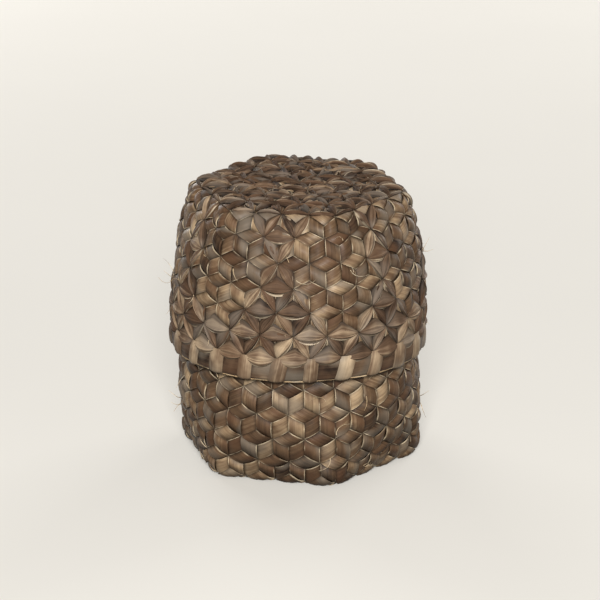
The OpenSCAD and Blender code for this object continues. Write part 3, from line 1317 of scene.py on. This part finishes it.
    def _petal(
        self,
        tubes: Tubes,
        cut: PetalCut,
        start: Array,
        end: Array,
        key: Pair,
        shadow: float = -0.55,
        shade: float = 1.0,
    ) -> None:
        """Adds one petal.

        Args:
            tubes: What the petal is added to.
            cut: How it is folded.
            start: The lattice point it starts at.
            end: The lattice point it ends at; its lip is on the left on the way there.
            key: Two numbers that make it differ from its neighbours.
            shadow: Where the painted shade at its back ends, from -1 at the back to 1 at the lip.
            shade: How much of its lightness it keeps.
        """
        petal = cut.value
        wide, deep, late, coarse, fine, high, _, tone, cast = chances(9, key[0] + self.seed, key[1])
        lip = petal.lip * mix(*self.lip_spread, wide)
        back = petal.back * mix(*self.back_spread, deep)
        peak = mix(*self.peak_spread, late)
        _, left, length = self._heading(start, end)
        x = np.linspace(*self.reach_x, self.rings)[:, None]
        ring = np.array([*range(self.across), self.across - 1, self.across // 2, 0])
        under = np.arange(len(ring)) >= self.across
        c = np.broadcast_to(np.linspace(-1, 1, self.across)[ring], (self.rings, len(ring)))
        rise = np.where(x < peak, x / peak, (1 - x) / (1 - peak))
        outline = mix(np.sin(math.pi / 2 * rise), rise, petal.pointed)
        hump = np.sin(math.pi * x)
        reach = c * np.where(c > 0, lip * hump**self.lip_power, back * outline)
        crease = np.sin(self.creases[0] * c + math.tau * coarse)
        slanted = self.creases[1] * c + self.crease_slant * x + math.tau * fine
        crease = crease + self.fine_crease * np.sin(slanted)
        swell = petal.height(c) * mix(*self.crest_spread, high) + self.wrinkle * crease
        lift = self.seat + hump**self.arch_power * swell - self.leaf_t * under
        flat = start + (end - start) * x[..., None] + left * (reach + self.splay * c)[..., None]
        points = self.shape.lifted(FIRST_SIDE, flat[..., 0], flat[..., 1], 0.0, lift)
        width = c * np.where(c > 0, LEAF_HALF_W, self.back_half_w)
        number = self.grain_keys[0] * key[0] + self.grain_keys[1] * key[1] + self.seed
        lay = np.stack([np.broadcast_to(x * length, c.shape), width, np.full_like(c, number)], axis=-1)
        # Painted shade where the petal pinches into the weave and over its back
        pinched = 1 - np.minimum(hump * self.pinch, 1)
        dip = np.maximum(self.pinch_shade * pinched, self.back_shade * share(-c, -shadow, 1.0))
        tubes.add(points, lay, shade * mix(tone, cast, self.tone_blend), dip)


class Edge(IntEnum):
    """The edge of a wall that strip ends are folded over: they run up from a lower one, down from an
    upper one."""

    LOWER = 1
    UPPER = -1


@dataclass(frozen=True)
class RimFold:
    """One strip end folded over a rim: its place round the rim, half its width and how far its outer leg
    leans, all in folds; that leg's length; how light the fold is, how far it is crowned and how much
    painted shade it has at its sides; how far it stands off the wall and reaches past the edge, and
    whether its grain runs along the rim."""

    place: float
    half: float
    slant: float
    leg: float
    tone: float
    crown: float
    soot_and_shade: float
    proud: float = 0.0
    drop: float = 0.0
    along_rim: bool = False


@dataclass
class FoldedRim:
    """Strip ends folded over the hoop of a rim: light tabs with their grain up and down in turn with
    darker lengths of strip that run along the rim between them."""

    vessel: Vessel
    edge: Edge
    edge_z: float
    wall_r: float
    stack_t: float = 2.2
    leaf_t: float = 0.35
    count: int = 24
    across: tuple[float, ...] = (-1.0, -0.6, 0.0, 0.6, 1.0)
    # Tabs and runs, their widths and slants as shares of the distance from tab to tab
    tab_leg: float = 9.2
    tab_w: float = 0.52
    tab_spread: Pair = (0.8, 1.15)
    tab_slant: Pair = (0.02, 0.22)
    tab_proud: Pair = (0.1, 0.4)
    tab_drop: float = 0.55
    tab_tone: Pair = (0.5, 1.0)
    tab_crown: float = 0.65
    # Painted shade at the sides of each tab
    tab_side_shade: float = 0.25
    run_leg: float = 8.2
    run_half: float = 0.38
    run_slant: float = 0.2
    run_tone: float = 0.7
    run_crown: float = 0.15
    # Painted shade at the sides of each run
    run_side_shade: float = 0.8
    inner_leg: float = 6.5
    # The legs lie this far off the stack of layers that they hold, outside and inside
    off_wall: float = 0.3
    off_lining: float = 0.1
    least_drop: float = 0.15
    # The outer leg's bulge, and the share of the leg over which it comes away from the wall
    bulge: float = 1.0
    bulge_share: float = 0.6
    bulge_power: float = 0.8
    bulge_start: float = 0.12
    away_share: float = 0.3
    inner_crown: float = 0.2
    # Half the width of a tab in its texture layout, too little for a pale edge
    tab_half_w: float = 2.6
    grain_key: float = 11.0
    seed: int = 5

    def build_tabs(self, name: str) -> Piece:
        """Makes the tabs, which wrap right round the edge.

        Args:
            name: The name of the new piece.

        Returns:
            The piece.
        """
        tubes = Tubes(columns=6)
        for n in range(self.count):
            wide, lean, light = chances(3, n, self.seed)
            half = self.tab_w / 2 * mix(*self.tab_spread, wide)
            slant, proud = mix(*self.tab_slant, lean), mix(*self.tab_proud, lean)
            look = (mix(*self.tab_tone, light), self.tab_crown, self.tab_side_shade)
            self._fold(tubes, RimFold(n, half, slant, self.tab_leg, *look, proud, self.tab_drop))
        return tubes.build(name)

    def build_runs(self, name: str) -> Piece:
        """Makes the lengths of strip between the tabs.

        Args:
            name: The name of the new piece.

        Returns:
            The piece.
        """
        tubes = Tubes(columns=6)
        for n in range(self.count):
            light = float(scatter(n, self.seed + 1)) ** 2
            look = (self.run_tone * light, self.run_crown, self.run_side_shade)
            size = (self.run_half, self.run_slant, self.run_leg)
            self._fold(tubes, RimFold(n + 0.5, *size, *look, along_rim=True))
        return tubes.build(name)

    def _path(self, fold: RimFold) -> Array:
        """The way of a fold round the edge, from the end of its outer leg to that of its inner leg.

        Args:
            fold: The fold.

        Returns:
            Radius and height of each point of the path.
        """
        inner = self.wall_r - self.stack_t - self.off_lining
        down = np.linspace(1, 0, 10)
        swell = np.sin(math.pi * mix(self.bulge_start, 1, down)) ** self.bulge_power
        away = fold.proud * ease(share(1 - down, 0, self.away_share))
        outer = self.wall_r + self.off_wall + away + self.bulge * self.bulge_share * swell
        turn = np.linspace(0, math.pi, 9)[1:]
        bend = mix(outer[-1], inner, (1 - np.cos(turn)) / 2)
        up = np.linspace(0, 1, 6)[1:]
        radius = np.concatenate([outer, bend, np.full(len(up), inner)])
        low = -(fold.drop + self.least_drop) * np.sin(turn)
        return np.stack([radius, np.concatenate([fold.leg * down, low, self.inner_leg * up])], axis=1)

    def _fold(self, tubes: Tubes, fold: RimFold) -> None:
        """Adds one fold.

        Args:
            tubes: What the fold is added to.
            fold: The fold.
        """
        path = self._path(fold)
        way = np.gradient(path, axis=0)
        way /= np.linalg.norm(way, axis=1, keepdims=True)
        outwards = np.stack([-way[:, 1], way[:, 0]], axis=1)
        c = np.array(self.across)[STRIP_RING]
        crown = fold.crown * (1 - c**2) * np.where(path[:, :1] > self.wall_r, 1.0, self.inner_crown)
        crown = crown - self.leaf_t * STRIP_UNDER
        section = path[:, None, :] + outwards[:, None, :] * crown[..., None]
        radius, height = section[..., 0], section[..., 1]
        lean = fold.slant * np.clip(path[:, 1] / fold.leg, 0, 1)
        turns = (fold.place + lean[:, None] + fold.half * c[None, :]) / self.count * math.tau
        angle = self.edge * turns + self.vessel.turn
        points = np.stack(
            [radius * np.cos(angle), radius * np.sin(angle), self.edge_z + self.edge * height], axis=-1
        )
        points = points + self.vessel.sway(points)
        length = np.concatenate([[0], np.cumsum(np.linalg.norm(np.diff(path, axis=0), axis=1))])
        along = np.broadcast_to(length[:, None], angle.shape)
        across = np.broadcast_to(c * self.tab_half_w, angle.shape)
        if fold.along_rim:
            across = np.clip(along / fold.leg * 2 - 1, -1, 1) * LEAF_HALF_W
            along = turns * self.wall_r
        number = np.full(angle.shape, self.grain_key * fold.place + self.seed)
        # Painted shade at the sides of the fold, where it meets its neighbours
        dip = fold.soot_and_shade * share(np.abs(c), 0.5, 1.0)
        tubes.add(points, np.stack([along, across, number], axis=-1), fold.tone, dip)


@dataclass
class Strand:
    """A thin strand of two plies, twisted and laid along the lower edge of the lid."""

    vessel: Vessel
    ring_r: float
    z: float
    thickness: float = 0.55
    rings: int = 360
    around: int = 8
    # A little more than once round, so that its ends lie together
    rounds: float = 1.002
    # Turns of the plies on the way round, how deep they are cut, and how uneven the strand is
    plies: int = 2
    twists: int = 45
    ply_depth: float = 0.18
    uneven: float = 0.1
    uneven_waves: int = 13
    # How far it wanders in and out and up and down, and how often
    wander: Pair = (0.12, 0.15)
    wander_waves: tuple[int, int] = (7, 11)
    grain_half_w: float = 2.0
    tone: float = 0.5
    soot_and_shade: float = 0.1

    def build(self, name: str) -> Piece:
        """Makes the strand as one tube that runs round the edge with its ends tucked together.

        Args:
            name: The name of the new piece.

        Returns:
            The piece.
        """
        tubes = Tubes()
        angle = np.linspace(0, math.tau * self.rounds, self.rings)[:, None]
        turn = np.linspace(0, math.tau, self.around, endpoint=False)[None, :]
        twist = turn + self.twists * angle
        uneven = self.uneven * np.sin(self.uneven_waves * angle)
        half = self.thickness / 2 * (1 + self.ply_depth * np.cos(self.plies * twist) + uneven)
        aside = self.wander[0] * np.sin(self.wander_waves[0] * angle)
        above = self.wander[1] * np.sin(self.wander_waves[1] * angle + 1)
        radius = self.ring_r + aside + half * np.cos(turn)
        height = self.z + above + half * np.sin(turn)
        points = np.stack([radius * np.cos(angle), radius * np.sin(angle), height], axis=-1)
        points = points + self.vessel.sway(points)
        along = np.broadcast_to(angle * self.ring_r, height.shape)
        lay = np.stack([along, self.grain_half_w * np.sin(twist), np.ones_like(height)], axis=-1)
        tubes.add(points, lay, self.tone, self.soot_and_shade)
        return tubes.build(name)


@dataclass(frozen=True)
class Fray:
    """A frayed spot: its angle in degrees, its place up or down the wall, and how far its fibres stand
    off, as a share of their length."""

    angle: float
    v: float
    stand: float


@dataclass
class LooseFibres:
    """Split fibres that stand off the weave where strips have frayed."""

    vessel: Vessel
    count: int
    lowest_v: float
    highest_v: float
    frays: Sequence[Fray] = ()
    thickness: float = 0.34
    longest: float = 10.0
    rings: int = 9
    around: int = 5
    # How long and how light they are and how far they stand off, as shares, and how far they curl
    length_spread: Pair = (0.4, 1.0)
    tone_spread: Pair = (0.5, 1.0)
    stray_stand: Pair = (0.1, 0.4)
    fray_stand: Pair = (0.4, 1.0)
    curl: float = 1.6
    # Fibres of a frayed spot, and how far along and out from its middle they are rooted
    fray_fibres: int = 3
    fray_u: float = 1.5
    fray_v: float = 2.0
    # How high they are rooted, how they fall short as they curl, how they rise and how they thin out
    root: float = 0.1
    droop: float = 0.25
    rise_power: float = 1.4
    taper: float = 0.7
    seed: int = 11

    def build(self, name: str) -> Piece:
        """Makes the fibres: some anywhere on the vessel, some where the box has frayed most.

        Args:
            name: The name of the new piece.

        Returns:
            The piece.
        """
        tubes = Tubes(columns=4)
        draws = np.random.default_rng(self.seed)
        side = self.vessel.weave.side
        for number in range(self.count):
            # Three sides either way is all round
            u = draws.uniform(-3, 3) * side
            v = draws.uniform(self.lowest_v, self.highest_v)
            self._fibre(tubes, draws, number, u, v, draws.uniform(*self.stray_stand))
        for fray in self.frays:
            turn = self.vessel.hand * (math.radians(fray.angle) - self.vessel.turn)
            middle = (SIXTH / 2 - turn) * side / SIXTH
            for number in range(self.fray_fibres):
                u = middle + draws.uniform(-self.fray_u, self.fray_u)
                v = fray.v + draws.uniform(-self.fray_v, self.fray_v)
                self._fibre(tubes, draws, number, u, v, fray.stand * draws.uniform(*self.fray_stand))
        return tubes.build(name)

    def _fibre(
        self, tubes: Tubes, draws: np.random.Generator, number: int, u: float, v: float, stand: float
    ) -> None:
        """Adds one fibre, rooted in the weave and curling away from it.

        Args:
            tubes: What the fibre is added to.
            draws: Where its length, heading, curl and tone are drawn from, in this order.
            number: A number that sets its grain off.
            u: Where it is rooted, along the first side of the hexagon.
            v: Where it is rooted, out from that side.
            stand: How far its tip stands off, as a share of its length.
        """
        turn = np.linspace(0, math.tau, self.around, endpoint=False)[None, :]
        x = np.linspace(0, 1, self.rings)[:, None]
        length = self.longest * draws.uniform(*self.length_spread)
        bearing = draws.uniform(0, math.tau) + draws.uniform(-self.curl, self.curl) * x
        along = length * x * (1 - self.droop * x)
        lift = self.root + length * stand * x**self.rise_power
        thick = self.thickness / 2 * (1 - self.taper * x)
        flat_u = u + along * np.cos(bearing) - thick * np.cos(turn) * np.sin(bearing)
        flat_v = v + along * np.sin(bearing) + thick * np.cos(turn) * np.cos(bearing)
        points = self.vessel.lifted(FIRST_SIDE, flat_u, flat_v, 0.0, lift + thick * np.sin(turn))
        lay = np.stack(np.broadcast_arrays(along, np.cos(turn), float(number)), axis=-1)
        tubes.add(points, lay, float(draws.uniform(*self.tone_spread)), 0.0)


@dataclass(frozen=True)
class Softbox:
    """A square lamp that faces the box: its place and the length of its sides in metres, and its power
    in watts."""

    name: str
    place: tuple[float, float, float]
    size: float
    power: float

    def build(self, aim: Vector) -> None:
        """Adds the lamp.

        Args:
            aim: The point that it faces.
        """
        light = bpy.data.lights.new(self.name, "AREA")
        light.size = self.size
        light.energy = self.power
        lamp = add_object(self.name, light)
        lamp.location = self.place
        lamp.rotation_euler = (aim - Vector(self.place)).to_track_quat("-Z", "Y").to_euler()


@dataclass
class Studio:
    """A pale floor, soft lamps all round and a camera at the photograph's angle, all in metres but for
    the lens."""

    camera_turn: float = math.radians(12.6)
    camera_pitch: float = math.radians(19.39)
    camera_away: float = 1.25
    aim_x: float = 0.0005
    aim_z: float = 0.0629
    lens: float = 183.7
    floor_size: float = 8.0
    floor_finish: PlainFinish = PlainFinish(
        "painted_card_floor", "#c6c2ba", "#c0bcb4", "#55524d", "#f4f1ea"
    )
    world_colour: str = "#f4f2ee"
    world_strength: float = 0.22
    lamps: tuple[Softbox, ...] = (
        Softbox("key_softbox", (0.28, -1.3, 0.7), 0.4, 26.0),
        Softbox("left_softbox", (-0.9, 1.0, 0.45), 0.8, 9.5),
        Softbox("right_softbox", (0.6, 1.22, 0.45), 0.8, 9.5),
    )

    def build(self) -> None:
        """Sets up the view, the floor, the lamps and the camera."""
        bpy.context.scene.view_settings.view_transform = "Standard"
        self._floor()
        self._world()
        for lamp in self.lamps:
            lamp.build(Vector((0, 0, self.aim_z)))
        self._camera()

    def _floor(self) -> None:
        """A plain pale floor, which isn't part of the object."""
        mesh = bpy.data.meshes.new("studio_floor")
        half = self.floor_size / 2
        corners = [(-half, -half, 0), (half, -half, 0), (half, half, 0), (-half, half, 0)]
        mesh.from_pydata(corners, [], [(0, 1, 2, 3)])
        mesh.materials.append(self.floor_finish.build())
        add_object("studio_floor", mesh)

    def _world(self) -> None:
        """Even light from all round."""
        world = bpy.data.worlds.new("studio_light")
        world.use_nodes = True
        background = world.node_tree.nodes["Background"]
        background.inputs["Color"].default_value = linear(self.world_colour)
        background.inputs["Strength"].default_value = self.world_strength
        bpy.context.scene.world = world

    def _camera(self) -> None:
        """The camera, at the photograph's height and distance."""
        turn, pitch = self.camera_turn, self.camera_pitch
        aim = Vector((self.aim_x * math.cos(turn), self.aim_x * math.sin(turn), self.aim_z))
        level = math.cos(pitch)
        back = Vector((math.sin(turn) * level, -math.cos(turn) * level, math.sin(pitch)))
        view = bpy.data.cameras.new("photo_view")
        view.lens = self.lens
        camera = add_object("photo_view", view)
        camera.location = aim + back * self.camera_away
        camera.rotation_euler = (-back).to_track_quat("-Z", "Y").to_euler()
        bpy.context.scene.camera = camera


@dataclass
class Box:
    """The lidded box: puts the body's and the lid's pieces where the frame's nodes are. Its sizes are in
    millimetres."""

    weave: Weave = Weave()
    lining_weave: Weave = Weave(crest=0.55, dip=0.2, strip_t=0.25)
    outer_depth: float = 0.8
    lining_depth: float = 1.8
    lining_step: float = 0.2
    # The weave ends under the folds, this far below the mouth and above the lid's rim
    body_weave_end: float = 5.5
    lid_weave_end: float = 5.0
    # The edges that the folds bend round, in from the ends of the folds' solids
    mouth_edge: float = 0.9
    rim_edge: float = 0.5
    mouth_bulge: float = 0.3
    # A dark line painted on the body below the lid's rim, as the rim's shadow
    rim_shadow_below: float = 1.5
    # The strand's middle, in from its solid's outside and up from its solid's middle
    strand_in: float = 0.45
    strand_up: float = 0.55
    # Where the box has frayed most; on the lid by height above the rim
    body_frays: tuple[Fray, ...] = (Fray(192, 18, 0.9), Fray(12, 20, 0.7), Fray(-40, 3, 0.6))
    lid_frays: tuple[Fray, ...] = (Fray(13, 38, 0.9), Fray(192, 27, 0.8), Fray(12, 10, 0.8))

    @property
    def rim_z(self) -> float:
        """Height of the lid's rim."""
        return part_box("lid_rim_long_folds")[0].z / MM

    def _dress(self, piece: Piece, body: str, finish: Finish, *nodes: str) -> None:
        """Gives a piece its finish and its body, and hides the parts of the nodes it stands for.

        Args:
            piece: The new piece.
            body: The body it moves with.
            finish: What it is made of.
            nodes: The nodes it stands for.
        """
        piece.data.materials.append(finish.material())
        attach(piece, body)
        finish.slot
        if nodes:
            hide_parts(*nodes)
        faces, stands_for = len(piece.data.polygons), ", ".join(nodes) or "detail"
        log.info("%s: %d faces on %s, for %s", piece.name, faces, body, stands_for)

    def _weave(self, outer: WovenLayer, body: str, nodes: Sequence[str], lined: Sequence[str]) -> None:
        """Makes the three sets of strips of a vessel's outer layer, and those of its lining, which has
        its own weave and faces inwards.

        Args:
            outer: The outer layer.
            body: The body that both layers move with.
            nodes: The nodes that the outer layer stands for.
            lined: The nodes that the lining stands for.
        """
        lining = WovenLayer(
            replace(outer.vessel, weave=self.lining_weave), self.lining_depth, outer.end_v,
            face=Face.IN, step=self.lining_step, seed=outer.seed + 1,
        )
        for layer, kind, finish, replaced in (
            (outer, "weave", Finish.WOVEN_LEAF, nodes),
            (lining, "lining", Finish.LINING_LEAF, lined),
        ):
            for number in range(3):
                piece = layer.build(f"{body}_{kind}_{number + 1}", number)
                self._dress(piece, body, finish, *replaced)

    def build_body(self) -> None:
        """Makes the body's pieces."""
        mouth_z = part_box("mouth_long_folds")[1].z / MM
        end_v = mouth_z - self.body_weave_end
        shape = BodyShape(self.weave)
        # The painted shadow line of the lid's rim lies just below it
        outer = WovenLayer(shape, self.outer_depth, end_v, rim_shadow_v=self.rim_z - self.rim_shadow_below, seed=1)
        self._weave(outer, "body", ("body_floor", "body_wall"), ("floor_lining", "wall_lining"))
        edge_z = mouth_z - self.mouth_edge
        rim = FoldedRim(shape, Edge.UPPER, edge_z, shape.mouth_wall_r, bulge=self.mouth_bulge, seed=6)
        self._dress(rim.build_tabs("mouth_tabs"), "body", Finish.FOLDED_LEAF, "mouth_long_folds")
        self._dress(rim.build_runs("mouth_runs"), "body", Finish.FOLDED_LEAF, "mouth_short_folds")
        fibres = LooseFibres(shape, count=16, lowest_v=4, highest_v=45, frays=self.body_frays, seed=12)
        self._dress(fibres.build("body_loose_fibres"), "body", Finish.EDGING_STRAND)

    def build_lid(self) -> None:
        """Makes the lid's pieces."""
        shape = LidShape(self.weave, stand_z=self.rim_z)
        end_v = shape.wall_v(self.lid_weave_end)
        outer = WovenLayer(shape, self.outer_depth, end_v, seed=3)
        self._weave(outer, "lid", ("lid_top", "lid_wall"), ("lid_top_lining", "lid_wall_lining"))
        stars = Stars(shape)
        self._dress(stars.build_top("top_stars"), "lid", Finish.STAR_LEAF, "lid_top_stars")
        self._dress(stars.build_wall("wall_stars"), "lid", Finish.STAR_LEAF, "lid_wall_stars")
        rim = FoldedRim(shape, Edge.LOWER, self.rim_z + self.rim_edge, shape.rim_wall_r)
        self._dress(rim.build_tabs("rim_tabs"), "lid", Finish.FOLDED_LEAF, "lid_rim_long_folds")
        self._dress(rim.build_runs("rim_runs"), "lid", Finish.FOLDED_LEAF, "lid_rim_short_folds")
        low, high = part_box("lid_rim_edging")
        strand = Strand(shape, high.x / MM - self.strand_in, (low.z + high.z) / 2 / MM + self.strand_up)
        self._dress(strand.build("rim_edging_strand"), "lid", Finish.EDGING_STRAND, "lid_rim_edging")
        frays = [replace(fray, v=shape.wall_v(fray.v)) for fray in self.lid_frays]
        fibres = LooseFibres(shape, count=24, lowest_v=-6, highest_v=60, frays=frays, seed=13)
        self._dress(fibres.build("lid_loose_fibres"), "lid", Finish.EDGING_STRAND)

    def finish_hoops(self) -> None:
        """Gives the two hidden hoops their cane."""
        for name in ("mouth_hoop", "lid_rim_hoop"):
            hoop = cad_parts[name]
            hoop.data.materials.clear()
            hoop.data.materials.append(Finish.SPLIT_CANE.material())
            log.info("%s: split cane", name)


def main() -> None:
    """Builds the pieces in order, then the studio."""
    logging.basicConfig(level=logging.INFO, format="%(name)s: %(message)s")
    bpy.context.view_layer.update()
    box = Box()
    box.build_body()
    box.build_lid()
    box.finish_hoops()
    Studio().build()


if __name__ == "__main__":
    main()
